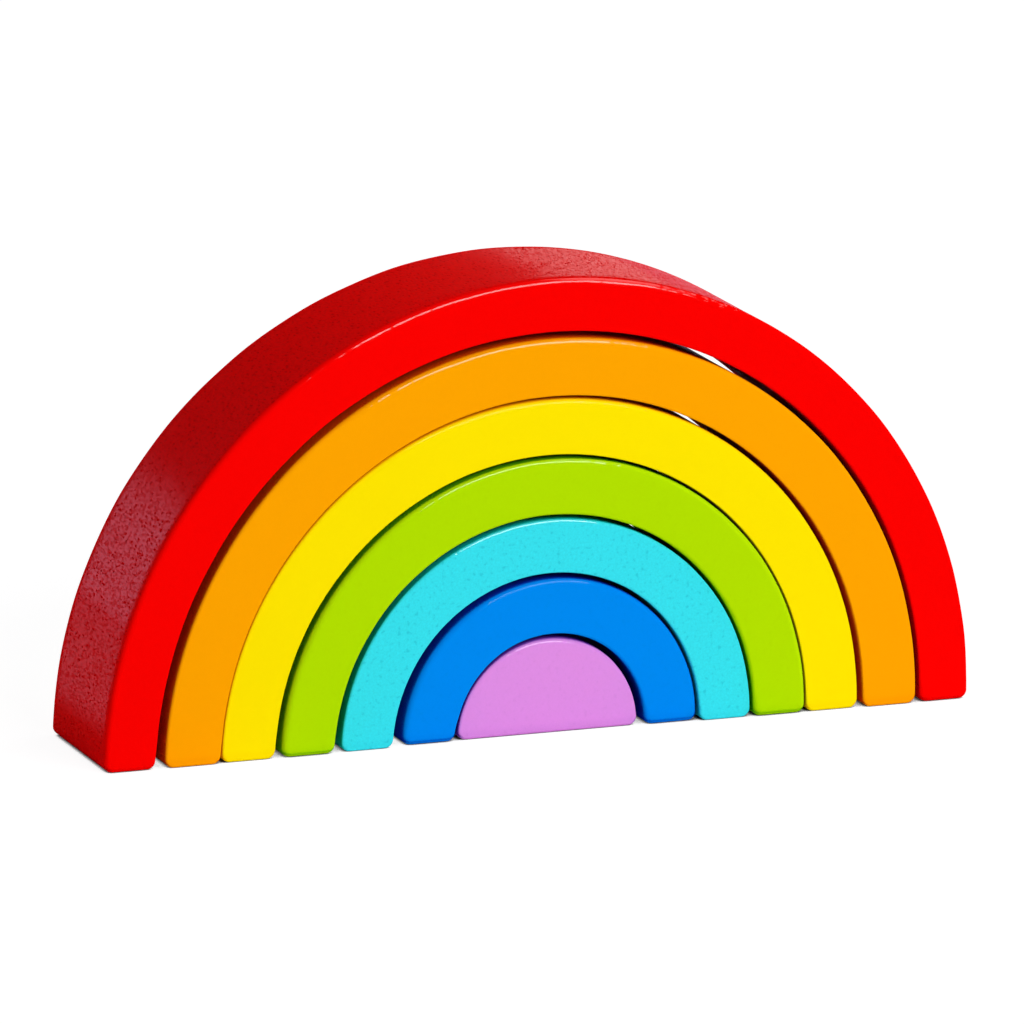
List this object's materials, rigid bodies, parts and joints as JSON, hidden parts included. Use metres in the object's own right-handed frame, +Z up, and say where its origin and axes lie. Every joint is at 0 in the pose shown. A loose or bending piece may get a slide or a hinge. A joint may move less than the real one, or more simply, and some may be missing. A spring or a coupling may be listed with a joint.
{
  "type": "rainbow stacker",
  "caption": "Painted wooden rainbow: half-ring arches nest one inside another over a solid half-round core and lift off from the outside in.",
  "frame": {"origin": "middle of the red arch's span, halfway through its depth, on the table that every foot stands on", "axes": "+X across the rainbow to the right as seen from the front, +Y from the front faces to the back, +Z up"},
  "size_m": [0.184, 0.0317, 0.092],
  "materials": {
    "red_paint": "satin",
    "orange_paint": "satin",
    "yellow_paint": "satin",
    "green_paint": "satin",
    "turquoise_paint": "satin",
    "blue_paint": "satin",
    "lilac_paint": "satin"
  },
  "bodies": {
    "lilac_core": {"lilac_core": "lilac_paint"},
    "blue_arch": {"blue_arch": "blue_paint"},
    "turquoise_arch": {"turquoise_arch": "turquoise_paint"},
    "green_arch": {"green_arch": "green_paint"},
    "yellow_arch": {"yellow_arch": "yellow_paint"},
    "orange_arch": {"orange_arch": "orange_paint"},
    "red_arch": {"red_arch": "red_paint"}
  },
  "joints": [
    {"name": "blue_lift", "type": "slide", "parent": "lilac_core", "child": "blue_arch", "axis": [0, 0, 1], "range_m": [0, 0.025]},
    {"name": "turquoise_lift", "type": "slide", "parent": "blue_arch", "child": "turquoise_arch", "axis": [0, 0, 1], "range_m": [0, 0.037]},
    {"name": "green_lift", "type": "slide", "parent": "turquoise_arch", "child": "green_arch", "axis": [0, 0, 1], "range_m": [0, 0.049]},
    {"name": "yellow_lift", "type": "slide", "parent": "green_arch", "child": "yellow_arch", "axis": [0, 0, 1], "range_m": [0, 0.061]},
    {"name": "orange_lift", "type": "slide", "parent": "yellow_arch", "child": "orange_arch", "axis": [0, 0, 1], "range_m": [0, 0.073]},
    {"name": "red_lift", "type": "slide", "parent": "orange_arch", "child": "red_arch", "axis": [0, 0, 1], "range_m": [0, 0.085]}
  ]
}
